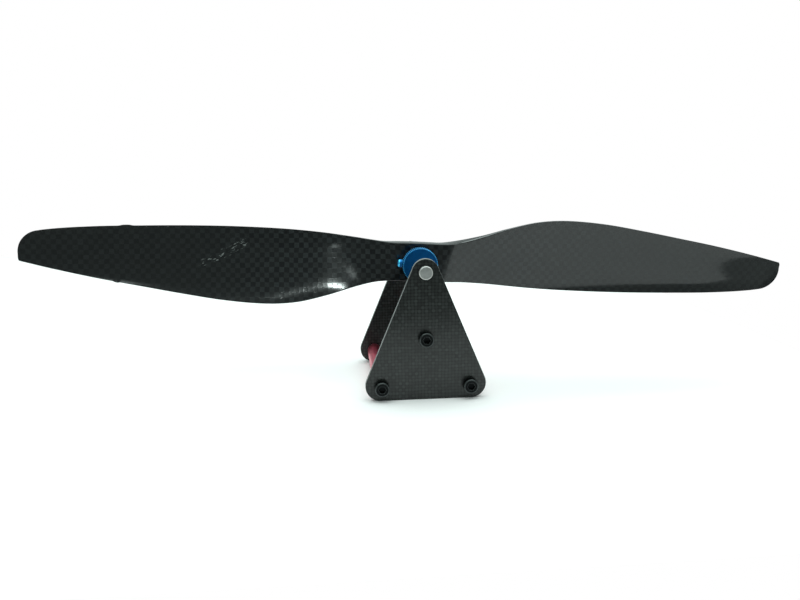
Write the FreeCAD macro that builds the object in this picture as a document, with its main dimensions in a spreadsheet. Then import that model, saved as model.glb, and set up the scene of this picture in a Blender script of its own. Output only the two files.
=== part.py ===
import FreeCAD, Part
import math
import os

import Sketcher
from FreeCAD import Placement, Rotation, Vector

# Magnetic propeller balancer with a two-blade propeller clamped on its shaft. Millimetres.
# +Z is up, +X runs along the propeller and -Y is the front. The origin is on the surface that
# the stand rests on, midway between the two plates and straight below the shaft.

DIMENSIONS = [
    # stand
    ("plate_thickness", 2.0),
    ("plate_gap", 50.0),
    ("foot_spacing", 34.0),
    ("foot_radius", 5.7),
    ("apex_radius", 5.0),
    ("axis_height", 48.2),
    ("foot_hole_spacing", 33.2),
    ("foot_hole_height", 5.2),
    ("centre_hole_height", 23.5),
    ("screw_clearance", 3.2),
    # standoffs and screws, M3
    ("standoff_diameter", 6.0),
    ("standoff_bore", 3.0),
    ("standoff_bore_depth", 10.0),
    ("standoff_chamfer", 0.3),
    ("screw_diameter", 2.94),
    ("screw_length", 8.0),
    ("screw_head_diameter", 5.5),
    ("screw_head_height", 3.0),
    ("screw_head_chamfer", 0.3),
    ("screw_socket_width", 2.5),
    ("screw_socket_depth", 1.5),
    # magnets and shaft
    ("magnet_diameter", 5.0),
    ("magnet_thickness", 4.0),
    ("magnet_proud", 1.5),
    ("magnet_chamfer", 0.25),
    ("shaft_diameter", 3.0),
    ("shaft_end_gap", 0.3),
    ("shaft_point_length", 2.6),
    # clamp collars and their lock screws
    ("flange_diameter", 13.6),
    ("flange_thickness", 4.4),
    ("flange_chamfer", 0.3),
    ("knurl_count", 60.0),
    ("knurl_depth", 0.3),
    ("boss_diameter", 9.0),
    ("boss_length", 4.1),
    ("cone_base_radius", 3.15),
    ("cone_nose_radius", 2.1),
    ("cone_length", 1.05),
    ("collar_bore", 3.1),
    ("hub_face_gap", 0.2),
    ("lock_reach", 8.7),
    ("lock_head_length", 1.65),
    ("lock_head_diameter", 3.0),
    ("lock_head_round", 0.8),
    ("lock_thread_diameter", 2.0),
    ("lock_clearance", 0.05),
    ("lock_position", 2.2),
    # propeller hub
    ("hub_position", 0.0),
    ("hub_thickness", 6.0),
    ("hub_bore", 8.0),
    ("bush_bore", 6.0),
    ("propeller_tilt", 1.25),
    ("collar_tilt", 7.0),
    # propeller tip
    ("tip_radius", 152.4),
    ("tip_leading_round", 8.4),
    ("tip_leading_start", 3.95),
    ("tip_trailing_round", 2.0),
    ("tip_trailing_start", 2.05),
]

# Blade table: distance from the axis, leading edge below and trailing edge above the radial line,
# greatest thickness, thickness at the edges, pitch angle, and how far behind the hub's middle
# plane the section stands.
BLADE_COLUMNS = ["station", "leading", "trailing", "thickness", "edge", "pitch", "rake"]
BLADE_SECTIONS = [
    (0.0, 7.85, 7.85, 6.0, 6.0, 0.0, 0.0),
    (5.0, 8.0, 7.6, 6.0, 6.0, 0.0, 0.0),
    (9.0, 8.05, 7.4, 6.0, 6.0, 0.0, 0.0),
    (13.0, 8.15, 7.6, 5.8, 5.4, 4.5, 0.3),
    (18.0, 8.5, 8.3, 5.4, 4.0, 11.0, 1.1),
    (26.0, 9.55, 10.2, 4.8, 2.1, 16.0, 1.8),
    (36.0, 10.9, 13.15, 3.9, 1.0, 17.0, 2.35),
    (48.0, 12.15, 15.8, 3.2, 0.7, 15.4, 2.45),
    (60.0, 13.0, 16.4, 2.8, 0.6, 13.3, 2.4),
    (76.0, 13.7, 15.0, 2.4, 0.55, 11.2, 2.05),
    (92.0, 14.0, 12.3, 2.1, 0.5, 9.4, 1.4),
    (108.0, 14.0, 9.2, 1.8, 0.5, 7.9, 0.8),
    (124.0, 13.8, 6.0, 1.5, 0.5, 6.6, 0.25),
    (140.0, 12.9, 2.3, 1.2, 0.5, 5.6, -0.2),
    (155.0, 10.9, -1.6, 1.0, 0.5, 4.9, -0.55),
]

FRONT = Rotation(Vector(0, 0, 1), 0)
REAR = Rotation(Vector(0, 0, 1), 180)

doc = FreeCAD.newDocument("propeller_balancer")
sheet = doc.addObject("Spreadsheet::Sheet", "Dims")


def fill_sheet():
    """Write every driving dimension to the sheet, one to a row, with its alias."""
    rows = list(DIMENSIONS)
    for number, section in enumerate(BLADE_SECTIONS):
        rows += [(f"{column}_{number}", size) for column, size in zip(BLADE_COLUMNS, section)]
    for line, (alias, size) in enumerate(rows, start=1):
        sheet.set(f"A{line}", alias)
        sheet.set(f"B{line}", str(size))
        sheet.setAlias(f"B{line}", alias)
    doc.recompute()


def number(expression):
    """The present value of an expression over the sheet."""
    value = sheet.evalExpression(expression)
    return float(getattr(value, "Value", value))


def new_body(name):
    body = doc.addObject("PartDesign::Body", name)
    body.Label = name
    return body


def origin_feature(body, role):
    return next(item for item in body.Origin.OriginFeatures if item.Role == role)


def new_sketch(body, name, plane, offset="0"):
    """A sketch on one of the body's own origin planes, moved along the plane's normal by offset."""
    sketch = body.newObject("Sketcher::SketchObject", name)
    sketch.AttachmentSupport = [(origin_feature(body, plane), "")]
    sketch.MapMode = "FlatFace"
    sketch.setExpression("AttachmentOffset.Base.z", offset)
    return sketch


def fix_point(sketch, geometry, end, x, y):
    """Hold a point of the sketch at x, y, both expressions."""
    for kind, expression in (("DistanceX", x), ("DistanceY", y)):
        index = sketch.addConstraint(Sketcher.Constraint(kind, geometry, end, number(expression)))
        sketch.setExpression(f"Constraints[{index}]", expression)


def fix_radius(sketch, geometry, radius):
    index = sketch.addConstraint(Sketcher.Constraint("Radius", geometry, number(radius)))
    sketch.setExpression(f"Constraints[{index}]", radius)


def add_circle(sketch, x, y, radius):
    centre = Vector(number(x), number(y), 0)
    circle = sketch.addGeometry(Part.Circle(centre, Vector(0, 0, 1), number(radius)))
    fix_point(sketch, circle, 3, x, y)
    fix_radius(sketch, circle, radius)


def arc_between(start, end, radius, left):
    """The shorter arc from start to end, with its centre on the left or right of that way."""
    chord = end - start
    across = Vector(-chord.y, chord.x, 0).normalize()
    height = math.sqrt(max(radius**2 - (chord.Length / 2) ** 2, 0.0))
    centre = (start + end) / 2 + across * (height if left else -height)
    first, last = (start, end) if left else (end, start)
    angles = [math.atan2(point.y - centre.y, point.x - centre.x) for point in (first, last)]
    return Part.ArcOfCircle(Part.Circle(centre, Vector(0, 0, 1), radius), *angles)


def add_outline(sketch, points):
    """Close an outline through points.

    Each point is x, y and optionally the radius of the arc to the next point and the side that
    the arc's centre is on. Without a radius the next stretch is straight.
    """
    places = [Vector(number(point[0]), number(point[1]), 0) for point in points]
    ends = []
    for index, point in enumerate(points):
        start, end = places[index], places[(index + 1) % len(points)]
        if len(point) == 2:
            geometry = sketch.addGeometry(Part.LineSegment(start, end))
            ends.append((geometry, 1, 2))
        else:
            left = point[3] == "left"
            geometry = sketch.addGeometry(arc_between(start, end, number(point[2]), left))
            ends.append((geometry, 1, 2) if left else (geometry, 2, 1))
    for index, (geometry, start, end) in enumerate(ends):
        following, following_start, _ = ends[(index + 1) % len(ends)]
        joint = Sketcher.Constraint("Coincident", geometry, end, following, following_start)
        sketch.addConstraint(joint)
        fix_point(sketch, geometry, start, points[index][0], points[index][1])
        if len(points[index]) > 2:
            fix_radius(sketch, geometry, points[index][2])


def revolve(body, sketch, axis):
    """Turn a sketch a full turn about its own V_Axis or H_Axis."""
    feature = body.newObject("PartDesign::Revolution", f"{sketch.Name}_turn")
    feature.Profile = sketch
    feature.ReferenceAxis = (sketch, [axis])
    feature.Angle = 360
    return feature


def pad(body, sketch, length):
    feature = body.newObject("PartDesign::Pad", f"{sketch.Name}_pad")
    feature.Profile = sketch
    feature.setExpression("Length", length)
    return feature


def pocket(body, sketch, length, midplane=False):
    """Cut a sketch against its normal, or half each way from its plane."""
    feature = body.newObject("PartDesign::Pocket", f"{sketch.Name}_cut")
    feature.Profile = sketch
    feature.SideType = "Symmetric" if midplane else "One side"
    feature.setExpression("Length", length)
    return feature


def turned(body, points, axis="V_Axis"):
    """A solid of revolution from an outline on the body's XY plane."""
    sketch = new_sketch(body, f"{body.Name}_profile", "XY_Plane")
    add_outline(sketch, points)
    return revolve(body, sketch, axis)


def polar_pattern(body, features, count, name):
    feature = body.newObject("PartDesign::PolarPattern", f"{body.Name}_{name}")
    feature.Originals = features
    feature.Axis = (origin_feature(body, "Y_Axis"), [""])
    feature.Angle = 360
    feature.setExpression("Occurrences", count)
    body.Tip = feature
    return feature


def place(body, x, y, z, rotation=FRONT):
    """Put a body at x, y, z, all expressions over the sheet."""
    body.Placement = Placement(Vector(number(x), number(y), number(z)), rotation)
    for axis, expression in (("x", x), ("y", y), ("z", z)):
        body.setExpression(f"Placement.Base.{axis}", expression)


def tilted(rotation=FRONT, tilt="Dims.propeller_tilt"):
    """The given rotation on the rotor, which rests with its +X blade a little low."""
    return Rotation(Vector(0, 1, 0), number(tilt)).multiply(rotation)


# Stand -------------------------------------------------------------------------------------------


def plate_outline(sketch):
    """Two feet and an apex, joined by their outer tangents."""
    corners = [
        ("-Dims.foot_spacing / 2", "Dims.foot_radius", "Dims.foot_radius"),
        ("Dims.foot_spacing / 2", "Dims.foot_radius", "Dims.foot_radius"),
        ("0", "Dims.axis_height", "Dims.apex_radius"),
    ]
    centres = [Vector(number(x), number(y), 0) for x, y, _ in corners]
    radii = [number(radius) for _, _, radius in corners]
    normals = []
    for index in range(3):
        way = centres[(index + 1) % 3] - centres[index]
        lean = math.acos((radii[index] - radii[(index + 1) % 3]) / way.Length)
        normals.append(math.atan2(way.y, way.x) - lean)
    arcs, lines = [], []
    for index in range(3):
        circle = Part.Circle(centres[index], Vector(0, 0, 1), radii[index])
        arc = Part.ArcOfCircle(circle, normals[index - 1], normals[index])
        arcs.append(sketch.addGeometry(arc))
    for index in range(3):
        following = (index + 1) % 3
        outward = Vector(math.cos(normals[index]), math.sin(normals[index]), 0)
        start = centres[index] + outward * radii[index]
        end = centres[following] + outward * radii[following]
        lines.append(sketch.addGeometry(Part.LineSegment(start, end)))
    for index in range(3):
        following = (index + 1) % 3
        sketch.addConstraint(Sketcher.Constraint("Tangent", arcs[index], 2, lines[index], 1))
        sketch.addConstraint(Sketcher.Constraint("Tangent", lines[index], 2, arcs[following], 1))
        fix_point(sketch, arcs[index], 3, corners[index][0], corners[index][1])
        fix_radius(sketch, arcs[index], corners[index][2])


SCREW_PLACES = {
    "left": ("-Dims.foot_hole_spacing / 2", "Dims.foot_hole_height"),
    "right": ("Dims.foot_hole_spacing / 2", "Dims.foot_hole_height"),
    "centre": ("0", "Dims.centre_hole_height"),
}


def make_plate(name, position):
    body = new_body(name)
    sketch = new_sketch(body, f"{name}_outline", "XZ_Plane")
    plate_outline(sketch)
    for x, z in SCREW_PLACES.values():
        add_circle(sketch, x, z, "Dims.screw_clearance / 2")
    add_circle(sketch, "0", "Dims.axis_height", "Dims.magnet_diameter / 2")
    pad(body, sketch, "Dims.plate_thickness")
    place(body, "0", position, "0")
    return body


def make_standoff(name, x, z):
    """A round tube, tapped from both ends and solid in the middle."""
    end, radius, bore = "Dims.plate_gap / 2", "Dims.standoff_diameter / 2", "Dims.standoff_bore / 2"
    chamfer, depth = "Dims.standoff_chamfer", "Dims.standoff_bore_depth"
    body = new_body(name)
    turned(
        body,
        [
            ("0", f"{depth} - {end}"),
            (bore, f"{depth} - {end}"),
            (bore, f"-{end}"),
            (f"{radius} - {chamfer}", f"-{end}"),
            (radius, f"{chamfer} - {end}"),
            (radius, f"{end} - {chamfer}"),
            (f"{radius} - {chamfer}", end),
            (bore, end),
            (bore, f"{end} - {depth}"),
            ("0", f"{end} - {depth}"),
        ],
    )
    place(body, x, "0", z)
    return body


def make_screw(name, x, z, side):
    """Socket-head cap screw whose head's underside is at its own origin."""
    head, height = "Dims.screw_head_diameter / 2", "Dims.screw_head_height"
    chamfer, shank = "Dims.screw_head_chamfer", "Dims.screw_diameter / 2"
    body = new_body(name)
    turned(
        body,
        [
            ("0", f"-{height}"),
            (f"{head} - {chamfer}", f"-{height}"),
            (head, f"{chamfer} - {height}"),
            (head, "0"),
            (shank, "0"),
            (shank, f"Dims.screw_length - {chamfer}"),
            (f"{shank} - {chamfer}", "Dims.screw_length"),
            ("0", "Dims.screw_length"),
        ],
    )
    socket = new_sketch(body, f"{name}_socket", "XZ_Plane", height)
    flat = "Dims.screw_socket_width / 2"
    corner = "Dims.screw_socket_width / sqrt(3)"
    hexagon = [
        (corner, "0"),
        (f"{corner} / 2", flat),
        (f"-{corner} / 2", flat),
        (f"-{corner}", "0"),
        (f"-{corner} / 2", f"-{flat}"),
        (f"{corner} / 2", f"-{flat}"),
    ]
    add_outline(socket, hexagon)
    pocket(body, socket, "Dims.screw_socket_depth")
    outside = "Dims.plate_gap / 2 + Dims.plate_thickness"
    place(body, x, f"-({outside})" if side is FRONT else outside, z, side)
    return body


def make_magnet(name, side):
    """Disc magnet whose outer face stands a little proud of the plate."""
    radius, length = "Dims.magnet_diameter / 2", "Dims.magnet_thickness"
    chamfer = "Dims.magnet_chamfer"
    body = new_body(name)
    turned(
        body,
        [
            ("0", "0"),
            (f"{radius} - {chamfer}", "0"),
            (radius, chamfer),
            (radius, f"{length} - {chamfer}"),
            (f"{radius} - {chamfer}", length),
            ("0", length),
        ],
    )
    face = "Dims.plate_gap / 2 + Dims.plate_thickness + Dims.magnet_proud"
    place(body, "0", f"-({face})" if side is FRONT else face, "Dims.axis_height", side)
    return body


# Rotor -------------------------------------------------------------------------------------------


def make_shaft():
    """Plain shaft with a point at each end, a small gap short of the magnets."""
    radius, point = "Dims.shaft_diameter / 2", "Dims.shaft_point_length"
    end = (
        "(Dims.plate_gap / 2 + Dims.plate_thickness + Dims.magnet_proud"
        " - Dims.magnet_thickness - Dims.shaft_end_gap)"
    )
    body = new_body("shaft")
    turned(
        body,
        [
            ("0", f"-{end}"),
            (radius, f"{point} - {end}"),
            (radius, f"{end} - {point}"),
            ("0", end),
        ],
    )
    place(body, "0", "0", "Dims.axis_height", tilted())
    return body


def make_collar(name, side):
    """Clamp collar: knurled flange with a cross hole, boss, and the cone that centres the hub."""
    flange, thickness = "Dims.flange_diameter / 2", "Dims.flange_thickness"
    chamfer, bore, boss = "Dims.flange_chamfer", "Dims.collar_bore / 2", "Dims.boss_diameter / 2"
    face = f"({thickness} + Dims.boss_length)"
    body = new_body(name)
    turned(
        body,
        [
            (bore, "0"),
            (f"{flange} - {chamfer}", "0"),
            (flange, chamfer),
            (flange, f"{thickness} - {chamfer}"),
            (f"{flange} - {chamfer}", thickness),
            (boss, thickness),
            (boss, f"{face} - {chamfer}"),
            (f"{boss} - {chamfer}", face),
            ("Dims.cone_base_radius", face),
            ("Dims.cone_nose_radius", f"{face} + Dims.cone_length"),
            (bore, f"{face} + Dims.cone_length"),
        ],
    )
    cross_hole = new_sketch(body, f"{name}_cross_hole", "YZ_Plane")
    add_circle(cross_hole, "Dims.lock_position", "0", "Dims.lock_thread_diameter / 2")
    pocket(body, cross_hole, f"({flange} + {chamfer})")
    groove = new_sketch(body, f"{name}_groove", "XZ_Plane")
    depth = "Dims.knurl_depth"
    add_outline(
        groove,
        [
            (f"{flange} - {depth}", "0"),
            (f"{flange} + {depth}", f"-2 * {depth}"),
            (f"{flange} + {depth}", f"2 * {depth}"),
        ],
    )
    cut = pocket(body, groove, thickness)
    polar_pattern(body, [cut], "Dims.knurl_count", "knurl")
    place(body, "0", collar_face(side), "Dims.axis_height", tilted(side, "Dims.collar_tilt"))
    return body


def collar_face(side):
    """Where a collar's flange has its outer face, on the front or the rear of the hub."""
    reach = (
        "(Dims.hub_thickness / 2 + Dims.hub_face_gap + Dims.boss_length + Dims.flange_thickness)"
    )
    return f"Dims.hub_position - {reach}" if side is FRONT else f"Dims.hub_position + {reach}"


def make_lock_screw(name, side):
    """Thumb screw that locks a collar: thread on the shaft's side, round knob outside."""
    thread = "Dims.lock_thread_diameter / 2 - Dims.lock_clearance"
    head, reach = "Dims.lock_head_diameter / 2", "Dims.lock_reach"
    knob_round = "Dims.lock_head_round"
    tip = "Dims.shaft_diameter / 2 + Dims.lock_clearance"
    body = new_body(name)
    turned(
        body,
        [
            (f"-({tip})", "0"),
            (f"-{reach}", "0"),
            (f"-{reach}", f"{head} - {knob_round}", knob_round, "right"),
            (f"{knob_round} - {reach}", head),
            (f"Dims.lock_head_length - {reach}", head),
            (f"Dims.lock_head_length - {reach}", thread),
            (f"-({tip})", thread),
        ],
        "H_Axis",
    )
    sign = "+" if side is FRONT else "-"
    position = f"{collar_face(side)} {sign} Dims.lock_position"
    place(body, "0", position, "Dims.axis_height", tilted(side, "Dims.collar_tilt"))
    return body


def blade_section(body, index):
    """One section of the blade: flat pressure side in front, crowned suction side behind."""
    station, leading, trailing, thickness, edge, pitch, rake = (
        f"Dims.{column}_{index}" for column in BLADE_COLUMNS
    )
    sketch = new_sketch(body, f"section_{index}", "YZ_Plane", station)
    slope = f"tan({pitch} * 1deg)"
    front_low = f"{rake} + {leading} * {slope} - {edge} / 2"
    front_high = f"{rake} - {trailing} * {slope} - {edge} / 2"
    corners = [
        (front_low, f"-{leading}"),
        (f"{front_low} + {edge}", f"-{leading}"),
        (f"{front_high} + {edge}", trailing),
        (front_high, trailing),
    ]
    crown = f"({thickness} - {edge})"
    if number(crown) > 0:
        chord = f"(({leading} + {trailing}) / cos({pitch} * 1deg))"
        corners[1] += (f"({chord} ^ 2 / 4 + {crown} ^ 2) / (2 * {crown})", "left")
    add_outline(sketch, corners)
    return sketch


def make_propeller():
    """Two blades and their hub, made as one blade from the hub's middle out and turned twice."""
    body = new_body("propeller")
    sections = [blade_section(body, index) for index in range(len(BLADE_SECTIONS))]
    blade = body.newObject("PartDesign::AdditiveLoft", "blade")
    blade.Profile = sections[0]
    blade.Sections = sections[1:]
    outer = "(Dims.tip_radius + 10)"
    side = "(Dims.tip_leading_start + Dims.tip_leading_round)"
    corner = "(Dims.tip_radius - Dims.tip_leading_round)"
    trailing_corner = "(Dims.tip_radius - Dims.tip_trailing_round)"
    trailing_top = "Dims.tip_trailing_round - Dims.tip_trailing_start"
    tip = new_sketch(body, "tip_outline", "XZ_Plane")
    add_outline(
        tip,
        [
            (corner, f"-{side}"),
            (corner, f"-2 * {side}"),
            (outer, f"-2 * {side}"),
            (outer, side),
            (trailing_corner, side),
            (trailing_corner, trailing_top, "Dims.tip_trailing_round", "right"),
            ("Dims.tip_radius", "-Dims.tip_trailing_start"),
            ("Dims.tip_radius", "-Dims.tip_leading_start", "Dims.tip_leading_round", "right"),
        ],
    )
    tip_cut = pocket(body, tip, "8 * Dims.hub_thickness", midplane=True)
    polar_pattern(body, [blade, tip_cut], "2", "blades")
    bore = new_sketch(body, "bore_outline", "XZ_Plane")
    add_circle(bore, "0", "0", "Dims.hub_bore / 2")
    pocket(body, bore, "2 * Dims.hub_thickness", midplane=True)
    place(body, "0", "Dims.hub_position", "Dims.axis_height", tilted())
    return body


def make_hub_bush():
    """Adapter ring in the propeller's bore."""
    end = "Dims.hub_thickness / 2"
    body = new_body("hub_bush")
    turned(
        body,
        [
            ("Dims.bush_bore / 2", f"-{end}"),
            ("Dims.hub_bore / 2", f"-{end}"),
            ("Dims.hub_bore / 2", end),
            ("Dims.bush_bore / 2", end),
        ],
    )
    place(body, "0", "Dims.hub_position", "Dims.axis_height", tilted())
    return body


# Assembly ----------------------------------------------------------------------------------------


def check_document():
    """Stop if any feature failed to build."""
    for item in doc.Objects:
        failed = {"Invalid", "Error"} & set(item.State)
        if failed:
            raise RuntimeError(f"{item.Label} is {', '.join(sorted(failed))}")


def write_parts(bodies):
    os.makedirs("parts", exist_ok=True)
    for body in bodies:
        shape = body.Shape
        if shape.isNull() or not shape.isValid() or len(shape.Solids) != 1:
            raise RuntimeError(f"{body.Label} has no valid solid")
    for body in bodies:
        box = body.Shape.BoundBox
        body.Shape.exportStep(os.path.join("parts", f"{body.Label}.step"))
        print(
            f"{body.Label:20s} volume {body.Shape.Volume:9.2f}"
            f"  x {box.XMin:8.2f} {box.XMax:8.2f}"
            f"  y {box.YMin:7.2f} {box.YMax:7.2f}  z {box.ZMin:7.2f} {box.ZMax:7.2f}"
        )


def main():
    fill_sheet()
    bodies = [
        make_plate("front_plate", "-Dims.plate_gap / 2"),
        make_plate("rear_plate", "Dims.plate_gap / 2 + Dims.plate_thickness"),
    ]
    for where, (x, z) in SCREW_PLACES.items():
        bodies.append(make_standoff(f"{where}_standoff", x, z))
        bodies.append(make_screw(f"front_{where}_screw", x, z, FRONT))
        bodies.append(make_screw(f"rear_{where}_screw", x, z, REAR))
    for name, side in (("front", FRONT), ("rear", REAR)):
        bodies.append(make_magnet(f"{name}_magnet", side))
        bodies.append(make_collar(f"{name}_collar", side))
        bodies.append(make_lock_screw(f"{name}_lock_screw", side))
    bodies += [make_shaft(), make_propeller(), make_hub_bush()]
    doc.recompute()
    check_document()
    write_parts(bodies)


main()
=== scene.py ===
import math

import bmesh
import bpy
import numpy as np
from mathutils import Matrix, Vector


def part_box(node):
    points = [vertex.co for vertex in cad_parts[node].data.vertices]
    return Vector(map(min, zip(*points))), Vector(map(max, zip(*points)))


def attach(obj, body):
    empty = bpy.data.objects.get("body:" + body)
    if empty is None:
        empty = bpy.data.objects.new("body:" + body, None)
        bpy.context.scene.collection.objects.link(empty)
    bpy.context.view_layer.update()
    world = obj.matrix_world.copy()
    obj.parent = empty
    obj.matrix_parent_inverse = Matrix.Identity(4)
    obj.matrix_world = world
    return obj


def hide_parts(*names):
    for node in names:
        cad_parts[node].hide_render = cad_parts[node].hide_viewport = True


# A two-blade carbon propeller clamped on the shaft of a magnetic balancing stand.
# Metres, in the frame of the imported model: +X along the propeller, -Y the front, +Z up.

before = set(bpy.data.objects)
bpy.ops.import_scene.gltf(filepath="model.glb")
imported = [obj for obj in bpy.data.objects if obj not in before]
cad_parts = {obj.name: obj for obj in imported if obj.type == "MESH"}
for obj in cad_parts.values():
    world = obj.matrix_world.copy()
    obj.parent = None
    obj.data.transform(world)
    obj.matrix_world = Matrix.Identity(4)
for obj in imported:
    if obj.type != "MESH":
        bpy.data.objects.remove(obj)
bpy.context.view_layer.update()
MM = 0.001


# Sizes read from the frame ------------------------------------------------------------------------


def middle(node):
    low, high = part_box(node)
    return (low + high) / 2


def extent(node):
    low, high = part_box(node)
    return high - low


AXIS_HEIGHT = middle("shaft").z
TILT = math.radians(1.25)
COLLAR_TILT = math.radians(7.0)
HUB_Y = middle("hub_bush").y
HUB_THICKNESS = extent("hub_bush").y
BORE_RADIUS = extent("hub_bush").x / 2
ROTOR = Matrix.Translation((0, 0, AXIS_HEIGHT)) @ Matrix.Rotation(TILT, 4, "Y")


# Node trees -----------------------------------------------------------------------------------------


class Tree:
    """Short calls for building one material's node tree."""

    def __init__(self, name):
        self.material = bpy.data.materials.new(name)
        self.material.use_nodes = True
        self.nodes = self.material.node_tree.nodes
        self.links = self.material.node_tree.links
        self.shader = self.nodes["Principled BSDF"]

    def put(self, socket, value):
        if isinstance(value, bpy.types.NodeSocket):
            self.links.new(value, socket)
        elif value is not None:
            socket.default_value = value

    def math(self, operation, first, second=None, third=None, clamp=False):
        node = self.nodes.new("ShaderNodeMath")
        node.operation = operation
        node.use_clamp = clamp
        for socket, value in zip(node.inputs, (first, second, third)):
            self.put(socket, value)
        return node.outputs[0]

    def mix(self, factor, low, high):
        """Mix two colours."""
        node = self.nodes.new("ShaderNodeMix")
        node.data_type = "RGBA"
        self.put(node.inputs["Factor"], factor)
        for socket, value in zip((node.inputs[6], node.inputs[7]), (low, high)):
            self.put(socket, value if isinstance(value, bpy.types.NodeSocket) else (*value, 1.0))
        return node.outputs[2]

    def ramp(self, value, low, high, out_low=0.0, out_high=1.0):
        """Map low..high smoothly to out_low..out_high."""
        node = self.nodes.new("ShaderNodeMapRange")
        node.interpolation_type = "SMOOTHSTEP"
        for socket, number in zip(node.inputs, (value, low, high, out_low, out_high)):
            self.put(socket, number)
        return node.outputs[0]

    def place(self, rotation=(0, 0, 0), scale=(1, 1, 1), location=(0, 0, 0)):
        """The surface point in the object's own coordinates, moved, turned and scaled."""
        coordinates = self.nodes.new("ShaderNodeTexCoord")
        mapping = self.nodes.new("ShaderNodeMapping")
        mapping.inputs["Location"].default_value = location
        mapping.inputs["Rotation"].default_value = rotation
        mapping.inputs["Scale"].default_value = scale
        self.links.new(coordinates.outputs["Object"], mapping.inputs["Vector"])
        return mapping.outputs[0]

    def split(self, vector):
        node = self.nodes.new("ShaderNodeSeparateXYZ")
        self.links.new(vector, node.inputs[0])
        return node.outputs

    def join(self, x, y, z):
        node = self.nodes.new("ShaderNodeCombineXYZ")
        for socket, value in zip(node.inputs, (x, y, z)):
            self.put(socket, value)
        return node.outputs[0]

    def noise(self, vector, scale, detail=3.0, roughness=0.5):
        node = self.nodes.new("ShaderNodeTexNoise")
        node.inputs["Scale"].default_value = scale
        node.inputs["Detail"].default_value = detail
        node.inputs["Roughness"].default_value = roughness
        self.links.new(vector, node.inputs["Vector"])
        return node.outputs[0]

    def attribute(self, name):
        node = self.nodes.new("ShaderNodeAttribute")
        node.attribute_name = name
        return node.outputs["Fac"]

    def bump(self, height, distance, strength=1.0):
        node = self.nodes.new("ShaderNodeBump")
        node.inputs["Strength"].default_value = strength
        node.inputs["Distance"].default_value = distance
        self.links.new(height, node.inputs["Height"])
        return node.outputs[0]

    def set(self, **values):
        """Set or link the shader's sockets, named with underscores for spaces."""
        for name, value in values.items():
            socket = self.shader.inputs[name.replace("_", " ")]
            is_colour = isinstance(value, tuple)
            self.put(socket, (*value, 1.0) if is_colour else value)
        return self.material


def weave(tree, point, pitch):
    """Plain weave over X and Z, its tows wandering a little.

    Returns which family of tows is on top (0 or 1), the height of the cloth from 0 to 1, the fine
    streaks of the fibres along each tow, and a random number for each crossing.
    """
    x, _, z = tree.split(point)
    shifted = tree.nodes.new("ShaderNodeVectorMath")
    shifted.operation = "ADD"
    shifted.inputs[1].default_value = (1.0, 2.0, 3.0)
    tree.links.new(point, shifted.inputs[0])
    wander_scale, wander = 130.0, 0.7
    drifts = [tree.noise(vector, wander_scale, 2.0) for vector in (point, shifted.outputs[0])]
    across, along = [
        tree.math("MULTIPLY_ADD", drift, wander, tree.math("DIVIDE", distance, pitch))
        for drift, distance in zip(drifts, (x, z))
    ]
    column, row = tree.math("FLOOR", across), tree.math("FLOOR", along)
    over = tree.math("FLOORED_MODULO", tree.math("ADD", column, row), 2.0)
    chance = tree.nodes.new("ShaderNodeTexWhiteNoise")
    tree.links.new(tree.join(column, 0.0, row), chance.inputs["Vector"])
    arch_x = tree.math("SINE", tree.math("MULTIPLY", tree.math("FRACT", across), math.pi))
    arch_z = tree.math("SINE", tree.math("MULTIPLY", tree.math("FRACT", along), math.pi))

    def crown(width_arch, length_arch):
        """A tow's height: steep at its sides, and lower where it dips under the next one."""
        side_power, dip = 0.4, 0.45
        crest = tree.math("POWER", width_arch, side_power)
        fall = tree.math("MULTIPLY_ADD", length_arch, dip, 1 - dip)
        return tree.math("MULTIPLY", crest, fall)

    upright, level = crown(arch_x, arch_z), crown(arch_z, arch_x)
    lift = tree.math("MULTIPLY", over, tree.math("SUBTRACT", level, upright))
    height = tree.math("ADD", upright, lift)
    fine, coarse = 14.0, 0.9
    streaks = []
    for x_rate, z_rate in ((fine, coarse), (coarse, fine)):
        vector = tree.join(
            tree.math("MULTIPLY", across, x_rate), 0.0, tree.math("MULTIPLY", along, z_rate)
        )
        streaks.append(tree.noise(vector, 1.0, 2.0))
    streak = tree.math(
        "ADD",
        streaks[0],
        tree.math("MULTIPLY", over, tree.math("SUBTRACT", streaks[1], streaks[0])),
    )
    return over, height, streak, chance.outputs["Value"]


# Materials ------------------------------------------------------------------------------------------

BLADE_WEAVE = 1.9 * MM
PLATE_WEAVE = 1.25 * MM


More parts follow.
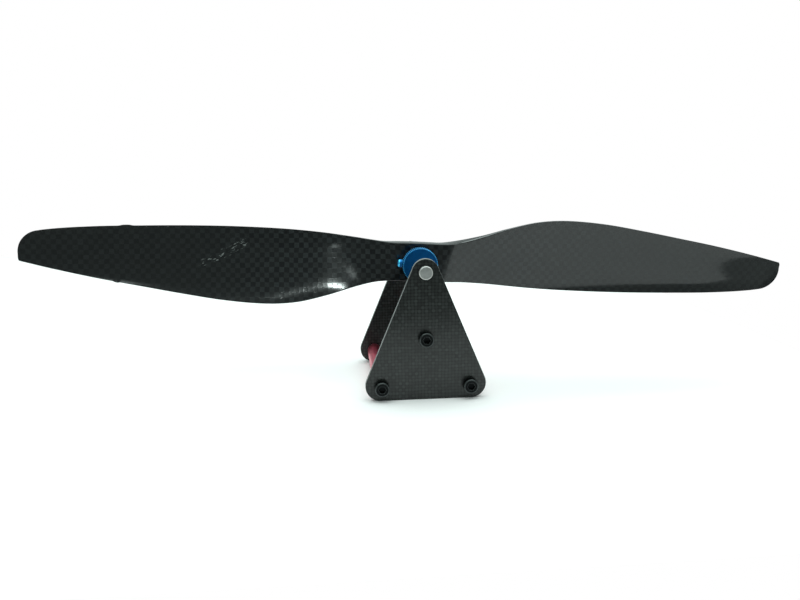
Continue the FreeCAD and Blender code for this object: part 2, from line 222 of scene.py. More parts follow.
def blade_carbon():
    """Glossy lacquered carbon cloth, its weave a painted sheen of lit and shaded tows.

    The painted sheen is clear near the hub and faint further out.
    """
    tree = Tree("blade_carbon")
    point = tree.place(rotation=(0, -TILT, 0), location=(0, 0, -AXIS_HEIGHT))
    over, height, streak, chance = weave(tree, point, BLADE_WEAVE)
    across, _, _ = tree.split(point)
    fade_start, fade_end, faint = 40 * MM, 95 * MM, 0.28
    # Painted sheen: how far the tows are painted lit and shaded, more near the hub, random per
    # crossing.
    clear = tree.ramp(tree.math("ABSOLUTE", across), fade_start, fade_end, 1.0, faint)
    tow_sheen_strength = tree.math("MULTIPLY", clear, tree.math("MULTIPLY_ADD", chance, 0.8, 0.35))
    shaded_tow_colour = tree.mix(tow_sheen_strength, (0.0078, 0.009, 0.009), (0.002, 0.003, 0.0038))
    light = tree.mix(tow_sheen_strength, (0.0085, 0.0099, 0.0099), (0.017, 0.0205, 0.021))
    # One family of tows gets the shaded colour, the other the lit one: a painted sheen.
    tow = tree.mix(over, shaded_tow_colour, light)
    shade = tree.math("MULTIPLY_ADD", streak, 1.1, 0.45)
    fibres = tree.nodes.new("ShaderNodeVectorMath")
    fibres.operation = "SCALE"
    tree.links.new(tow, fibres.inputs[0])
    tree.links.new(shade, fibres.inputs["Scale"])
    colour = tree.mix(scratches(tree), fibres.outputs[0], (0.17, 0.185, 0.18))
    haze = tree.noise(tree.place(), 140.0, 4.0, 0.6)
    smudge = tree.ramp(haze, 0.4, 0.8, 0.0, 0.12)
    rough = tree.math("ADD", tree.math("MULTIPLY_ADD", over, 0.12, 0.34), smudge)
    print_through = tree.math("MULTIPLY_ADD", haze, 1.6, height)
    return tree.set(
        Base_Color=colour,
        Roughness=rough,
        Normal=tree.bump(height, 0.03 * MM, 0.6),
        Specular_IOR_Level=0.12,
        Coat_Weight=1.0,
        Coat_Roughness=0.09,
        Coat_IOR=1.45,
        Coat_Normal=tree.bump(print_through, 0.004 * MM, 0.8),
    )


def scratches(tree):
    """Short pale scratches in a slanting band on one blade's front, from handling."""
    slant = math.radians(24.5)
    half_length, half_width = 11.5 * MM, 2.2 * MM
    along_rate, across_rate = 420.0, 2300.0
    middle_point = Vector((-76 * MM, 0, AXIS_HEIGHT + 5 * MM))
    turned = Matrix.Rotation(slant, 3, "Y") @ middle_point
    along, _, across = tree.split(tree.place(rotation=(0, slant, 0), location=tuple(-turned)))
    reach = tree.math(
        "ADD",
        tree.math("POWER", tree.math("ABSOLUTE", tree.math("DIVIDE", along, half_length)), 4.0),
        tree.math("POWER", tree.math("ABSOLUTE", tree.math("DIVIDE", across, half_width)), 2.0),
    )
    area = tree.ramp(reach, 0.4, 1.0, 1.0, 0.0)
    grain = tree.join(
        tree.math("MULTIPLY", along, along_rate), 0.0, tree.math("MULTIPLY", across, across_rate)
    )
    lines = tree.ramp(tree.noise(grain, 1.0, 2.0, 0.6), 0.56, 0.66)
    clusters = tree.ramp(tree.noise(tree.join(along, 0.0, across), 210.0, 1.0), 0.38, 0.52)
    normal = tree.nodes.new("ShaderNodeTexCoord").outputs["Normal"]
    front = tree.ramp(tree.split(normal)[1], -0.3, 0.0, 1.0, 0.0)
    marks = tree.math("MULTIPLY", tree.math("MULTIPLY", lines, clusters), area)
    return tree.math("MULTIPLY", marks, front)


def plate_carbon():
    """Satin carbon sheet, its weave seen through a thin matt resin."""
    tree = Tree("plate_carbon")
    point = tree.place()
    over, height, streak, chance = weave(tree, point, PLATE_WEAVE)
    tow = tree.mix(over, (0.015, 0.0175, 0.0165), (0.019, 0.0225, 0.021))
    hollow = tree.ramp(height, 0.3, 0.8)
    tow = tree.mix(hollow, (0.0015, 0.002, 0.002), tow)
    haze = tree.noise(point, 90.0, 4.0, 0.6)
    shade = tree.math(
        "MULTIPLY",
        tree.math("MULTIPLY_ADD", streak, 0.7, 0.65),
        tree.math("MULTIPLY_ADD", chance, 0.9, 0.6),
    )
    fibres = tree.nodes.new("ShaderNodeVectorMath")
    fibres.operation = "SCALE"
    tree.links.new(tow, fibres.inputs[0])
    tree.links.new(shade, fibres.inputs["Scale"])
    dust = tree.ramp(haze, 0.45, 0.85, 0.0, 0.2)
    colour = tree.mix(dust, fibres.outputs[0], (0.022, 0.025, 0.024))
    return tree.set(
        Base_Color=colour,
        Roughness=tree.math("MULTIPLY_ADD", haze, 0.16, 0.36),
        Normal=tree.bump(height, 0.035 * MM, 0.5),
        Specular_IOR_Level=0.15,
        Coat_Weight=0.55,
        Coat_Roughness=0.2,
    )


def laminate_edge():
    """The plates' milled edge: pale grey, with the plies as fine lines through its thickness."""
    tree = Tree("laminate_edge")
    point = tree.place()
    _, y, _ = tree.split(point)
    ply = 0.25 * MM
    plies = tree.math("SINE", tree.math("MULTIPLY", y, 2 * math.pi / ply))
    grain = tree.noise(tree.place(scale=(1, 6, 1)), 900.0, 3.0)
    shade = tree.math("MULTIPLY_ADD", plies, 0.18, grain)
    colour = tree.mix(tree.ramp(shade, 0.2, 0.85), (0.08, 0.088, 0.088), (0.27, 0.285, 0.28))
    return tree.set(
        Base_Color=colour,
        Roughness=0.5,
        Normal=tree.bump(shade, 0.02 * MM, 0.5),
    )


def metal(name, base, edge, roughness, grain_distance, metallic=1.0):
    """Turned metal: tool-mark rings, mottled finish, and paler edges (worn and painted highlight).

    The marks follow the mesh's own turn attribute, the distance from the piece's axis plus the
    distance along it. The edge attribute, worn metal plus painted highlight, is 1 on the edges.
    """
    tree = Tree(name)
    marks_per_metre = 2600.0
    turn = tree.nodes.new("ShaderNodeTexNoise")
    turn.noise_dimensions = "1D"
    turn.inputs["Scale"].default_value = marks_per_metre
    turn.inputs["Detail"].default_value = 3.0
    tree.links.new(tree.attribute("turn"), turn.inputs["W"])
    mottle = tree.noise(tree.place(), 600.0, 4.0, 0.65)
    # Paler edges: partly worn metal, partly a painted highlight on rounded edges and knurl crests.
    wear_and_edge_sheen = tree.ramp(
        tree.math("ADD", tree.attribute("wear_and_edge_sheen"), tree.math("MULTIPLY", mottle, 0.35)), 0.55, 1.25
    )
    tone = tree.mix(tree.ramp(mottle, 0.3, 0.75), tuple(c * 0.8 for c in base), base)
    colour = tree.mix(wear_and_edge_sheen, tone, edge)
    return tree.set(
        Base_Color=colour,
        Metallic=metallic,
        Roughness=tree.math("MULTIPLY_ADD", mottle, 0.18, roughness - 0.09),
        Normal=tree.bump(turn.outputs[0], grain_distance, 0.7),
    )


def bush_nylon():
    """Moulded black plastic with a fine grain."""
    tree = Tree("bush_plastic")
    grain = tree.noise(tree.place(), 1500.0, 4.0, 0.6)
    colour = tree.mix(grain, (0.012, 0.012, 0.013), (0.03, 0.03, 0.031))
    return tree.set(Base_Color=colour, Roughness=0.5, Normal=tree.bump(grain, 0.02 * MM, 0.4))


BLADE = blade_carbon()
PLATE = plate_carbon()
PLATE_EDGE = laminate_edge()
BUSH = bush_nylon()
# Base colour, paler edge colour (worn metal and painted highlight), roughness, tool-mark depth.
STANDOFF = metal("standoff_anodised", (0.72, 0.12, 0.18), (0.8, 0.34, 0.4), 0.36, 0.006 * MM)
SCREW = metal("screw_black", (0.011, 0.012, 0.0125), (0.07, 0.078, 0.078), 0.45, 0.004 * MM)
MAGNET = metal("magnet_nickel", (0.43, 0.44, 0.43), (0.68, 0.68, 0.66), 0.5, 0.0007 * MM)
SHAFT = metal("shaft_steel", (0.5, 0.5, 0.5), (0.7, 0.7, 0.7), 0.28, 0.003 * MM)
COLLAR = metal(
    "collar_anodised", (0.0002, 0.125, 0.4), (0.07, 0.6, 1.0), 0.4, 0.0012 * MM, metallic=0.75
)


# Meshes ---------------------------------------------------------------------------------------------

SMOOTH_ANGLE = math.radians(32)


def finish_piece(mesh, name, materials, body, node):
    """Make the object, give it its materials and tell the frame what it is."""
    piece = bpy.data.objects.new(name, mesh)
    bpy.context.scene.collection.objects.link(piece)
    for material in materials:
        mesh.materials.append(material)
    mesh.polygons.foreach_set("use_smooth", [True] * len(mesh.polygons))
    mesh.set_sharp_from_angle(angle=SMOOTH_ANGLE)
    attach(piece, body)
    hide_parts(node)


def rounded(profile, steps=4):
    """Round a profile's corners.

    Each point is (distance from the axis, position along it, corner radius). The result's points
    are (distance, position, edge paleness), 1 on rounded corners: partly worn, partly painted
    highlight.
    rounding keeps the flat faces flat in shading.
    """
    points = []
    support = 0.03 * MM
    for index, (across, along, radius) in enumerate(profile):
        here = Vector((across, along))
        if radius == 0 or index in (0, len(profile) - 1):
            points.append((across, along, 0.0))
            continue
        before = (Vector(profile[index - 1][:2]) - here).normalized()
        after = (Vector(profile[index + 1][:2]) - here).normalized()
        half = before.angle(after) / 2
        reach = radius / math.tan(half)
        centre = here + (before + after).normalized() * (radius / math.sin(half))
        start, end = here + before * reach, here + after * reach
        points.append((*(start + before * support), 0.0))
        for step in range(steps + 1):
            blend = start.lerp(end, step / steps) - centre
            spot = centre + blend.normalized() * radius
            points.append((spot.x, spot.y, 1.0))
        points.append((*(end + after * support), 0.0))
    return points


def lathe(points, matrix, segments=96, shape=None):
    """A closed solid of revolution about the matrix's Y axis.

    The first and last points may lie on the axis. shape(index, angle) scales a ring's radius. The
    paler edge colour, partly worn and partly painted highlight, lies on its crests, not in grooves
    deeper than a share of the radius.
    """
    groove = 0.035
    mesh = bmesh.new()
    wear_and_sheen_layer = mesh.verts.layers.float.new("wear_and_edge_sheen")
    turn_layer = mesh.verts.layers.float.new("turn")
    rings = []
    for index, (across, along, wear_and_edge_sheen) in enumerate(points):
        count = 1 if across < 1e-9 else segments
        ring = []
        for step in range(count):
            angle = 2 * math.pi * step / segments
            scale = shape(index, angle) if shape else 1.0
            radius = across * scale
            spot = Vector((radius * math.cos(angle), along, radius * math.sin(angle)))
            vertex = mesh.verts.new(matrix @ spot)
            # Crests keep the paler edge colour (worn and painted highlight); deep grooves lose it.
            vertex[wear_and_sheen_layer] = wear_and_edge_sheen * min(1.0, max(0.0, 1 - (1 - scale) / groove))
            vertex[turn_layer] = across + along
            ring.append(vertex)
        rings.append(ring)
    closed = len(rings[0]) > 1 and len(rings[-1]) > 1
    pairs = list(zip(rings, rings[1:])) + ([(rings[-1], rings[0])] if closed else [])
    for inner, outer in pairs:
        for step in range(segments):
            following = (step + 1) % segments
            corners = [inner[step % len(inner)], outer[step % len(outer)]]
            if len(outer) > 1:
                corners.append(outer[following])
            if len(inner) > 1:
                corners.append(inner[following])
            mesh.faces.new(corners)
    bmesh.ops.recalc_face_normals(mesh, faces=mesh.faces)
    result = bpy.data.meshes.new("turned")
    mesh.to_mesh(result)
    mesh.free()
    return result


def side_matrix(x, y, z, front, tilt=0.0):
    """A piece's own frame: its Y axis runs inwards, from the front or from the rear."""
    turn = Matrix.Identity(4) if front else Matrix.Rotation(math.pi, 4, "Z")
    return Matrix.Translation((x, y, z)) @ Matrix.Rotation(tilt, 4, "Y") @ turn


# Stand ----------------------------------------------------------------------------------------------


def arc(centre_x, centre_z, radius, start, end, steps=24):
    angles = [start + (end - start) * step / steps for step in range(steps + 1)]
    return [(centre_x + radius * math.cos(a), centre_z + radius * math.sin(a)) for a in angles]


def plate_outline(node):
    """Two feet and an apex joined by their outer tangents, from the plate's box and the axis height.
    """
    low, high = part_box(node)
    foot_radius = 5.7 * MM
    foot_x = high.x - foot_radius
    apex_radius = high.z - AXIS_HEIGHT
    centres = [(-foot_x, foot_radius), (foot_x, foot_radius), (0.0, AXIS_HEIGHT)]
    radii = [foot_radius, foot_radius, apex_radius]
    normals = []
    for index in range(3):
        (x0, z0), (x1, z1) = centres[index], centres[(index + 1) % 3]
        lean = math.acos((radii[index] - radii[(index + 1) % 3]) / math.hypot(x1 - x0, z1 - z0))
        normals.append(math.atan2(z1 - z0, x1 - x0) - lean)
    outline = []
    for index, ((x, z), radius) in enumerate(zip(centres, radii)):
        start, end = normals[index - 1], normals[index]
        end += 2 * math.pi if end < start else 0.0
        outline += arc(x, z, radius, start, end)
    return outline


def make_plate(node):
    """A carbon sheet with its screw and magnet holes and a broken edge all round."""
    low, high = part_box(node)
    break_edge = 0.12 * MM
    curve = bpy.data.curves.new(node, "CURVE")
    curve.dimensions = "2D"
    curve.fill_mode = "BOTH"
    curve.extrude = (high.y - low.y) / 2 - break_edge
    curve.bevel_depth = break_edge
    curve.bevel_resolution = 2
    curve.offset = -break_edge
    screw_hole, magnet_hole = 1.6 * MM, extent("front_magnet").x / 2
    loops = [plate_outline(node)]
    for screw in ("front_left_screw", "front_right_screw", "front_centre_screw"):
        spot = middle(screw)
        loops.append(arc(spot.x, spot.z, screw_hole, 2 * math.pi, 0, 32)[:-1])
    loops.append(arc(0, AXIS_HEIGHT, magnet_hole, 2 * math.pi, 0, 48)[:-1])
    for loop in loops:
        spline = curve.splines.new("POLY")
        spline.points.add(len(loop) - 1)
        for point, (x, z) in zip(spline.points, loop):
            point.co = (x, z, 0, 1)
        spline.use_cyclic_u = True
    holder = bpy.data.objects.new(node + "_curve", curve)
    bpy.context.scene.collection.objects.link(holder)
    bpy.context.view_layer.update()
    evaluated = holder.evaluated_get(bpy.context.evaluated_depsgraph_get())
    mesh = bpy.data.meshes.new_from_object(evaluated)
    bpy.data.objects.remove(holder)
    upright = Matrix.Rotation(math.pi / 2, 4, "X")
    mesh.transform(Matrix.Translation((0, (low.y + high.y) / 2, 0)) @ upright)
    mesh.materials.clear()
    finish_piece(mesh, node + "_sheet", [PLATE, PLATE_EDGE], "stand", node)
    for polygon in mesh.polygons:
        is_face = abs(polygon.normal.y) > 0.95
        polygon.material_index = 0 if is_face else 1


def make_standoff(node):
    """Spacer tube, with a blind screw hole in each end."""
    low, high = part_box(node)
    centre = middle(node)
    radius, half = (high.x - low.x) / 2, (high.y - low.y) / 2
    bore, depth = 1.5 * MM, 10 * MM
    profile = [
        (0.0, depth - half, 0),
        (bore, depth - half, 0),
        (bore, -half, 0),
        (radius, -half, 0.35 * MM),
        (radius, half, 0.35 * MM),
        (bore, half, 0),
        (bore, half - depth, 0),
        (0.0, half - depth, 0),
    ]
    mesh = lathe(rounded(profile), Matrix.Translation(centre))
    finish_piece(mesh, node + "_tube", [STANDOFF], "stand", node)


def make_screw(node):
    """Socket-head cap screw: knurled side, rounded rim, hexagon socket, thread grooves."""
    low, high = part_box(node)
    centre = middle(node)
    front = centre.y < 0
    head, height, socket_depth = (high.x - low.x) / 2, 3.0 * MM, 1.5 * MM
    flat, shank, pitch = 1.25 * MM, 1.47 * MM, 0.5 * MM
    length = high.y - low.y - height
    profile = [
        (0.0, socket_depth - height + 0.35 * MM, 0),
        (flat, socket_depth - height, 0),
        (flat, -height, 0.12 * MM),
        (head, -height, 0.45 * MM),
        (head, -0.001 * MM, 0.1 * MM),
        (shank, 0.0, 0),
    ]
    points = rounded(profile)
    hexagon = [index for index, point in enumerate(points) if 0 < point[0] < flat + 0.2 * MM]
    side = [index for index, point in enumerate(points) if point[0] > head - 0.02 * MM]
    turns = int(length / pitch)
    for turn in range(turns):
        start = turn * pitch
        points.append((shank, start + 0.15 * pitch, 0.0))
        points.append((shank - 0.28 * MM, start + 0.55 * pitch, 0.0))
        points.append((shank, start + 0.95 * pitch, 0.0))
    points += [(shank - 0.3 * MM, length, 0.0), (0.0, length, 0.0)]
    knurls = 40

    def shape(index, angle):
        if index in hexagon:
            return 1 / math.cos((angle % (math.pi / 3)) - math.pi / 6)
        if index in side:
            return 1 - 0.02 * (0.5 + 0.5 * math.cos(knurls * angle))
        return 1.0

    seat = low.y + height if front else high.y - height
    matrix = side_matrix(centre.x, seat, centre.z, front)
    mesh = lathe(points, matrix, segments=240, shape=shape)
    finish_piece(mesh, node + "_bolt", [SCREW], "stand", node)


def make_magnet(node):
    """A plated disc with rounded rims."""
    low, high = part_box(node)
    centre = middle(node)
    front = centre.y < 0
    radius, length = (high.x - low.x) / 2, high.y - low.y
    profile = [
        (0.0, 0.0, 0),
        (radius, 0.0, 0.32 * MM),
        (radius, length, 0.32 * MM),
        (0.0, length, 0),
    ]
    matrix = side_matrix(0, low.y if front else high.y, centre.z, front)
    mesh = lathe(rounded(profile, 5), matrix)
    finish_piece(mesh, node + "_disc", [MAGNET], "stand", node)


# Rotor ----------------------------------------------------------------------------------------------


def make_shaft():
    """A round rod with pointed ends."""
    low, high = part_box("shaft")
    radius, half, point = (high.x - low.x) / 2, (high.y - low.y) / 2, 2.6 * MM
    profile = [
        (0.0, -half, 0),
        (radius, point - half, 0.3 * MM),
        (radius, half - point, 0.3 * MM),
        (0.0, half, 0),
    ]
    mesh = lathe(rounded(profile), Matrix.Translation((0, 0, AXIS_HEIGHT)))
    finish_piece(mesh, "shaft_rod", [SHAFT], "rotor", "shaft")


def make_bush():
    """The ring that fills the propeller's bore, with a hole for the collars' cones."""
    low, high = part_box("hub_bush")
    bore = 3.0 * MM
    profile = [
        (bore, low.y, 0.0),
        (BORE_RADIUS, low.y, 0.0),
        (BORE_RADIUS, high.y, 0.0),
        (bore, high.y, 0.0),
    ]
    mesh = lathe(profile, Matrix.Translation((0, 0, AXIS_HEIGHT)))
    finish_piece(mesh, "hub_bush_ring", [BUSH], "rotor", "hub_bush")


def cut_hole(mesh, matrix, radius, length):
    """Cut a round hole along the matrix's Y axis out of a mesh."""
    profile = [(0.0, -length / 2, 0), (radius, -length / 2, 0), (radius, length / 2, 0)]
    profile.append((0.0, length / 2, 0))
    cutter = bpy.data.objects.new("cutter", lathe(profile, matrix, segments=48))
    holder = bpy.data.objects.new("holder", mesh)
    for item in (cutter, holder):
        bpy.context.scene.collection.objects.link(item)
    modifier = holder.modifiers.new("hole", "BOOLEAN")
    modifier.operation = "DIFFERENCE"
    modifier.solver = "EXACT"
    modifier.object = cutter
    bpy.context.view_layer.update()
    evaluated = holder.evaluated_get(bpy.context.evaluated_depsgraph_get())
    result = bpy.data.meshes.new_from_object(evaluated)
    for item in (cutter, holder):
        bpy.data.objects.remove(item)
    return result


def make_collar(side, body):
    """Clamp collar: flange with a knurled rim, boss with a cross hole, centring cone."""
    node = side + "_collar"
    low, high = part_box(node)
    front = side == "front"
    flange, bore, boss = 6.8 * MM, 1.55 * MM, 4.5 * MM
    thickness, face, nose = 4.4 * MM, 8.5 * MM, 9.55 * MM
    cone_base, cone_tip = 3.15 * MM, 2.1 * MM
    profile = [
        (bore, 0.0, 0),
        (flange, 0.0, 0.32 * MM),
        (flange, thickness, 0.32 * MM),
        (boss, thickness, 0),
        (boss, face, 0.25 * MM),
        (cone_base, face, 0),
        (cone_tip, nose, 0.15 * MM),
        (bore, nose, 0),
    ]
    teeth, depth = 60, 0.38 * MM
    rim = flange - 0.33 * MM
    # The knurled rim is painted nearly all pale: partly worn metal, partly a painted highlight on the
    # knurl.
    points = [
        (across, along, 0.9 if across > rim else wear_and_edge_sheen)
        for across, along, wear_and_edge_sheen in rounded(profile, 5)
    ]

    def shape(index, angle):
        if points[index][0] < rim:
            return 1.0
        phase = (angle * teeth / (2 * math.pi)) % 1.0
        return 1 - depth / flange * abs(1 - 2 * phase) ** 1.4

    matrix = side_matrix(0, low.y if front else high.y, AXIS_HEIGHT, front, COLLAR_TILT)
    mesh = lathe(points, matrix, segments=teeth * 8, shape=shape)
    hole_radius, hole_length = 1.0 * MM, 5.8 * MM
    hole_middle = Matrix.Translation((-4.2 * MM, 2.2 * MM, 0))
    cross = matrix @ hole_middle @ Matrix.Rotation(math.pi / 2, 4, "Z")
    mesh = cut_hole(mesh, cross, hole_radius, hole_length)
    mesh.materials.clear()
    finish_piece(mesh, node + "_wheel", [COLLAR], body, node)


def make_lock_screw(side, body):
    """Thumb screw with a round knob, lightly fluted, and a threaded neck."""
    node = side + "_lock_screw"
    front = side == "front"
    centre = middle(node)
    tip, reach, knob, head, neck = 1.55 * MM, 8.7 * MM, 1.65 * MM, 1.5 * MM, 0.95 * MM
    profile = [
        (0.0, reach, 0),
        (head, reach, 0.8 * MM),
        (head, reach - knob, 0.2 * MM),
        (neck, reach - knob, 0),
    ]
    points = rounded(profile, 8)
    pitch = 0.4 * MM
    for turn in range(int((reach - knob - tip) / pitch)):
        start = reach - knob - turn * pitch
        points.append((neck, start - 0.15 * pitch, 0.0))
        points.append((neck - 0.2 * MM, start - 0.55 * pitch, 0.0))
        points.append((neck, start - 0.95 * pitch, 0.0))
    points += [(neck - 0.2 * MM, tip, 0.0), (0.0, tip, 0.0)]
    flutes = 18
    grip = (reach - knob + 0.15 * MM, reach - 0.7 * MM)

    def shape(index, angle):
        across, along, _ = points[index]
        if across < head - 0.1 * MM or not grip[0] < along < grip[1]:
            return 1.0
        return 1 - 0.05 * (0.5 + 0.5 * math.cos(flutes * angle))

    outward = side_matrix(0, centre.y, AXIS_HEIGHT, front, COLLAR_TILT)
    outward @= Matrix.Rotation(math.pi / 2, 4, "Z")
    mesh = lathe(points, outward, segments=144, shape=shape)
    finish_piece(mesh, node + "_thumb", [COLLAR], body, node)


# Propeller ------------------------------------------------------------------------------------------

# Millimetres and degrees: distance from the axis, leading edge below and trailing edge above the
# radial line, greatest thickness, thickness at the edges, pitch angle, and how far behind the
# hub's middle plane the section stands.
BLADE_SECTIONS = [
    (0.0, 7.85, 7.85, 6.0, 6.0, 0.0, 0.0),
    (5.0, 8.0, 7.6, 6.0, 6.0, 0.0, 0.0),
    (9.0, 8.05, 7.4, 6.0, 6.0, 0.0, 0.0),
    (13.0, 8.15, 7.6, 5.8, 5.4, 4.5, 0.3),
    (18.0, 8.5, 8.3, 5.4, 4.0, 11.0, 1.1),
    (26.0, 9.55, 10.2, 4.8, 2.1, 16.0, 1.8),
    (36.0, 10.9, 13.15, 3.9, 1.0, 17.0, 2.35),
    (48.0, 12.15, 15.8, 3.2, 0.7, 15.4, 2.45),
    (60.0, 13.0, 16.4, 2.8, 0.6, 13.3, 2.4),
    (76.0, 13.7, 15.0, 2.4, 0.55, 11.2, 2.05),
    (92.0, 14.0, 12.3, 2.1, 0.5, 9.4, 1.4),
    (108.0, 14.0, 9.2, 1.8, 0.5, 7.9, 0.8),
    (124.0, 13.8, 6.0, 1.5, 0.5, 6.6, 0.25),
    (140.0, 12.9, 2.3, 1.2, 0.5, 5.6, -0.2),
    (155.0, 10.9, -1.6, 1.0, 0.5, 4.9, -0.55),
]
TIP_RADIUS = 152.4
TIP_LEADING = (8.4, 3.95)
TIP_TRAILING = (2.0, -2.05)
# Burrs on one blade's edges: distance from the axis, half length and height.
LEADING_BURR = (112.6, 2.1, 0.34)
TRAILING_BURR = (116.8, 0.9, 0.3)
# The front is hollow: its depth and place as shares of the width. The hollow and the rear's skew
# towards the leading edge grow in from FOIL_START over FOIL_BLEND.
CAMBER = 0.035
CAMBER_PLACE = 0.28
FOIL_START, FOIL_BLEND = 12.0, 40.0
SKEW = 0.45
# The rear's crown gives up this share of the hollow's depth, and is lower on narrow sections.
REAR_RELIEF = 0.6
FULL_CROWN_CHORD = 12.0
# Over its last stretch the tip thins to a share of its thickness.
TIP_THINNING, TIP_THINNEST = 1.2, 0.35
# How far the rounded edges may stand out, and how finely a section is divided.
EDGE_ROUND = 0.35
SIDE_STEPS = 26
CAP_STEPS = 8


def blade_values(distance):
    """The table's columns at a distance from the axis, on a smooth curve through its rows."""
    last = len(BLADE_SECTIONS) - 2
    index = next((i for i in range(last) if distance < BLADE_SECTIONS[i + 1][0]), last)
    rows = [BLADE_SECTIONS[max(0, min(last + 1, index + k))] for k in (-1, 0, 1, 2)]
    before, start, end, after = (np.array(row) for row in rows)
    span = end[0] - start[0]
    blend = (distance - start[0]) / span
    slope_in = (end - before) / max(end[0] - before[0], 1e-9) * span
    slope_out = (after - start) / max(after[0] - start[0], 1e-9) * span
    values = (
        (2 * blend**3 - 3 * blend**2 + 1) * start
        + (blend**3 - 2 * blend**2 + blend) * slope_in
        + (3 * blend**2 - 2 * blend**3) * end
        + (blend**3 - blend**2) * slope_out
    )
    return values[1:]


def tip_round(distance, corner):
    """How far from the radial line a rounded tip corner leaves the blade."""
    radius, start = corner
    past = distance - (TIP_RADIUS - radius)
    return start + math.sqrt(max(radius**2 - max(past, 0.0) ** 2, 0.0))


def burr(distance, size):
    """How far a burr stands out from the blade's edge: a low ridge with steep ends."""
    place, half_length, height = size
    return height * math.exp(-(((distance - place) / half_length) ** 4))


def section(distance, burred):
    """A blade section as (across the disc, behind the hub's middle plane) points.

    They start at the leading edge, run up the front to the trailing edge and back down the rear.
    """
    leading, trailing, thick, edge, pitch, rake = blade_values(distance)
    if burred:
        leading += burr(distance, LEADING_BURR)
        trailing += burr(distance, TRAILING_BURR)
    if distance > TIP_RADIUS - TIP_LEADING[0]:
        leading = min(leading, tip_round(distance, TIP_LEADING))
    if distance > TIP_RADIUS - TIP_TRAILING[0]:
        trailing = min(trailing, tip_round(distance, TIP_TRAILING))
    chord = (leading + trailing) / math.cos(math.radians(pitch))
    foil = min(1.0, max(0.0, (distance - FOIL_START) / FOIL_BLEND))
    foil = foil * foil * (3 - 2 * foil)
    near_tip = min(1.0, max(0.0, (TIP_RADIUS - distance) / TIP_THINNING))
    round_off = math.sqrt(max(0.0, 1 - (1 - near_tip) ** 2))
    thin = TIP_THINNEST + (1 - TIP_THINNEST) * round_off
    edge *= thin
    crown = (thick - edge) * min(1.0, chord / FULL_CROWN_CHORD) * thin
    camber = CAMBER * foil * chord
    inset = min(0.25 * edge, EDGE_ROUND) / chord
    front, rear = [], []
    for step in range(SIDE_STEPS + 1):
        share = inset + (1 - 2 * inset) * (0.5 - 0.5 * math.cos(math.pi * step / SIDE_STEPS))
        if share < CAMBER_PLACE:
            bow = camber * (1 - (1 - share / CAMBER_PLACE) ** 2)
        else:
            bow = camber * (1 - ((share - CAMBER_PLACE) / (1 - CAMBER_PLACE)) ** 4)
        arched = 4 * share * (1 - share)
        skewed = arched * (1 + SKEW * foil * (1 - 2 * share)) / (1 + 0.1 * foil)
        front.append((share, bow - edge / 2))
        rear.append((share, bow + edge / 2 + (crown - REAR_RELIEF * camber) * skewed))
    outline = front + cap(front[-1], rear[-1], inset)
    outline += rear[::-1] + cap(rear[0], front[0], -inset)
    slope = math.tan(math.radians(pitch))
    lean, rise = math.sin(math.radians(pitch)), math.cos(math.radians(pitch))
    points = []
    for share, offset in outline:
        up = -leading + share * (leading + trailing)
        points.append((up + offset * lean, rake - up * slope + offset * rise))
    return points


def cap(start, end, bulge):
    """Round the edge between the front and the rear, standing out by bulge along the chord."""
    points = []
    for step in range(1, CAP_STEPS):
        angle = math.pi * step / CAP_STEPS
        offset = start[1] + (end[1] - start[1]) * (1 - math.cos(angle)) / 2
        points.append((start[0] + bulge * math.sqrt(math.sin(angle)), offset))
    return points


def propeller_stations():
    """Distances from the axis for one blade: a few in the hub, even along it, close at the tip."""
    inner = np.linspace(0.0, 8.0, 4)
    middle_part = np.linspace(9.5, TIP_RADIUS - TIP_LEADING[0] - 1.0, 200)
    angles = np.linspace(0.0, math.pi / 2, 30)
    outer = TIP_RADIUS - TIP_LEADING[0] + TIP_LEADING[0] * np.sin(angles)
    return [float(value) for value in (*inner, *middle_part, *outer)]


def make_propeller():
    """One skin from tip to tip through the hub, with the bore cut out of it."""
    stations = propeller_stations()
    mesh = bmesh.new()
    rings = []
    half = SIDE_STEPS + 1
    for distance in [-value for value in stations[:0:-1]] + stations:
        outline = section(abs(distance), burred=distance < 0)
        if distance < 0:
            turned = [(-up, behind) for up, behind in outline]
            outline = turned[half - 1 :: -1] + turned[: half - 1 : -1]
        ring = []
        for up, behind in outline:
            spot = Vector((distance * MM, behind * MM, up * MM))
            ring.append(mesh.verts.new(ROTOR @ (spot + Vector((0, HUB_Y, 0)))))
        rings.append(ring)
    for inner, outer in zip(rings, rings[1:]):
        for step in range(len(inner)):
            following = (step + 1) % len(inner)
            mesh.faces.new((inner[step], outer[step], outer[following], inner[following]))
    for ring in (rings[0], rings[-1]):
        mesh.faces.new(ring)
    bmesh.ops.recalc_face_normals(mesh, faces=mesh.faces)
    skin = bpy.data.meshes.new("propeller_skin")
    mesh.to_mesh(skin)
    mesh.free()
    bore = ROTOR @ Matrix.Translation((0, HUB_Y, 0))
    skin = cut_hole(skin, bore, BORE_RADIUS, 3 * HUB_THICKNESS)
    skin.materials.clear()
    finish_piece(skin, "propeller_blades", [BLADE], "rotor", "propeller")


def make_object():
    for node in ("front_plate", "rear_plate"):
        make_plate(node)
    for where in ("left", "right", "centre"):
        make_standoff(where + "_standoff")
        for side in ("front", "rear"):
            make_screw(f"{side}_{where}_screw")
    for side in ("front", "rear"):
        make_magnet(side + "_magnet")
        make_collar(side, side + "_clamp")
        make_lock_screw(side, side + "_lock")
    make_shaft()
    make_bush()
    make_propeller()


# Studio ---------------------------------------------------------------------------------------------

DAYLIGHT = (0.87, 1.0, 0.97)


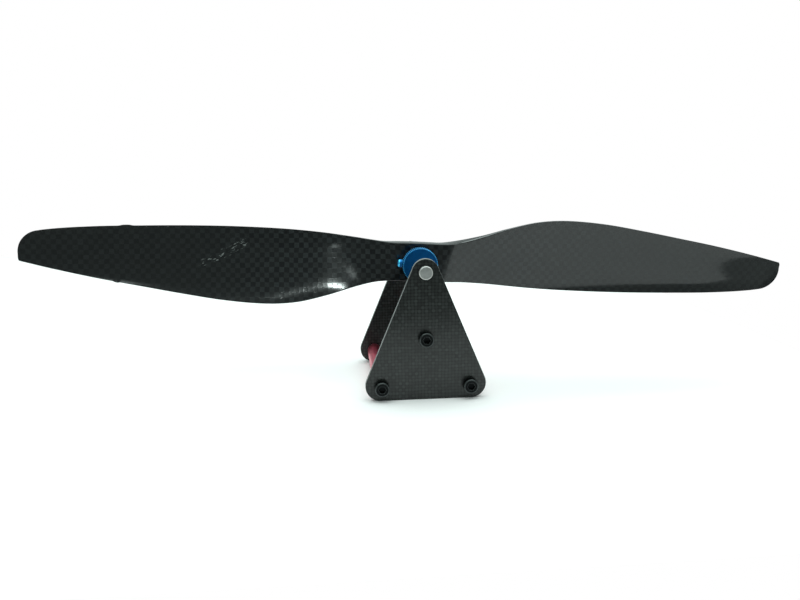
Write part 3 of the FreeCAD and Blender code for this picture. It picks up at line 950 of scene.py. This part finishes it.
def make_camera():
    """A short lens close in front, a little left of the stand and looking down on it."""
    camera = bpy.data.cameras.new("camera")
    camera.sensor_width = 36.0
    camera.lens = 31.96
    camera.clip_start = 0.01
    position = Vector((-31.29, -279.0, 90.87)) * MM
    yaw, pitch, roll = math.radians(4.954), math.radians(11.729), math.radians(-0.677)
    forward = Vector(
        (math.sin(yaw) * math.cos(pitch), math.cos(yaw) * math.cos(pitch), -math.sin(pitch))
    )
    right = Vector((math.cos(yaw), -math.sin(yaw), 0.0))
    up = right.cross(forward)
    rolled_right = right * math.cos(roll) + up * math.sin(roll)
    rolled_up = up * math.cos(roll) - right * math.sin(roll)
    holder = bpy.data.objects.new("camera", camera)
    turn = Matrix((rolled_right, rolled_up, -forward)).transposed().to_4x4()
    holder.matrix_world = Matrix.Translation(position) @ turn
    bpy.context.scene.collection.objects.link(holder)
    bpy.context.scene.camera = holder


def area_light(name, place, aim, size, power):
    """A rectangular lamp at a place, facing the aim, its size in metres and power in watts."""
    light = bpy.data.lights.new(name, "AREA")
    light.shape = "RECTANGLE"
    light.size, light.size_y = size
    light.energy = power
    light.color = DAYLIGHT
    holder = bpy.data.objects.new(name, light)
    way = Vector(aim) - Vector(place)
    turn = way.to_track_quat("-Z", "Y").to_matrix().to_4x4()
    holder.matrix_world = Matrix.Translation(place) @ turn
    bpy.context.scene.collection.objects.link(holder)


def towards(place, azimuth, elevation, distance):
    """A point seen from a place in front, azimuth degrees to the right and elevation up."""
    turn, lift = math.radians(azimuth), math.radians(elevation)
    level = Vector((math.sin(turn), -math.cos(turn), 0.0))
    return place + distance * (level * math.cos(lift) + Vector((0.0, 0.0, math.sin(lift))))


def make_world():
    """White to the camera. The pieces see it bright behind and on the right, and dim in front."""
    world = bpy.data.worlds.new("studio")
    world.use_nodes = True
    bpy.context.scene.world = world
    nodes, links = world.node_tree.nodes, world.node_tree.links
    coordinates = nodes.new("ShaderNodeTexCoord")
    parts = nodes.new("ShaderNodeSeparateXYZ")
    links.new(coordinates.outputs["Generated"], parts.inputs[0])

    def fade(axis, start, end):
        """Rise from 0 to 1 between two values of one component of the direction."""
        node = nodes.new("ShaderNodeMapRange")
        node.interpolation_type = "SMOOTHSTEP"
        node.inputs["From Min"].default_value = start
        node.inputs["From Max"].default_value = end
        links.new(parts.outputs[axis], node.inputs["Value"])
        return node.outputs[0]

    lit = nodes.new("ShaderNodeMath")
    lit.operation = "MAXIMUM"
    links.new(fade("Y", -0.35, 0.25), lit.inputs[0])
    links.new(fade("X", 0.36, 0.48), lit.inputs[1])
    dim, bright = 0.17, 0.5
    room = nodes.new("ShaderNodeMix")
    room.data_type = "RGBA"
    links.new(lit.outputs[0], room.inputs["Factor"])
    room.inputs[6].default_value = (*(dim * c for c in DAYLIGHT), 1.0)
    room.inputs[7].default_value = (*(bright * c for c in DAYLIGHT), 1.0)
    seen = nodes.new("ShaderNodeLightPath")
    mix = nodes.new("ShaderNodeMix")
    mix.data_type = "RGBA"
    links.new(seen.outputs["Is Camera Ray"], mix.inputs["Factor"])
    links.new(room.outputs[2], mix.inputs[6])
    mix.inputs[7].default_value = (1.0, 1.0, 1.0, 1.0)
    links.new(mix.outputs[2], nodes["Background"].inputs["Color"])


def make_floor():
    """A white sheet of paper, which ends in front of the stand and to its right."""
    low, high = Vector((-0.35, -0.14, 0.0)), Vector((0.176, 0.40, 0.0))
    corners = [(low.x, low.y), (high.x, low.y), (high.x, high.y), (low.x, high.y)]
    mesh = bpy.data.meshes.new("paper")
    mesh.from_pydata([(x, y, 0.0) for x, y in corners], [], [(0, 1, 2, 3)])
    floor = bpy.data.objects.new("paper", mesh)
    bpy.context.scene.collection.objects.link(floor)
    tree = Tree("paper")
    grain = tree.noise(tree.place(), 900.0, 4.0, 0.6)
    colour = tree.mix(grain, (0.89, 0.86, 0.865), (0.91, 0.88, 0.885))
    mesh.materials.append(tree.set(Base_Color=colour, Roughness=0.8))


def make_studio():
    make_camera()
    make_world()
    make_floor()
    area_light("overhead", (0.0, 0.05, 0.75), (0.0, 0.0, 0.0), (1.4, 1.2), 13.0)
    # The lamp and the glow are mirrored in the root of the left blade.
    root = Vector((-33, -1, 40)) * MM
    area_light("lamp", towards(root, -15.4, 30.0, 0.9), root, (0.03, 0.022), 0.2)
    area_light("glow", towards(root, -16.0, 24.0, 0.9), root, (0.05, 0.03), 0.018)
    bpy.context.scene.view_settings.view_transform = "Standard"


make_studio()
make_object()
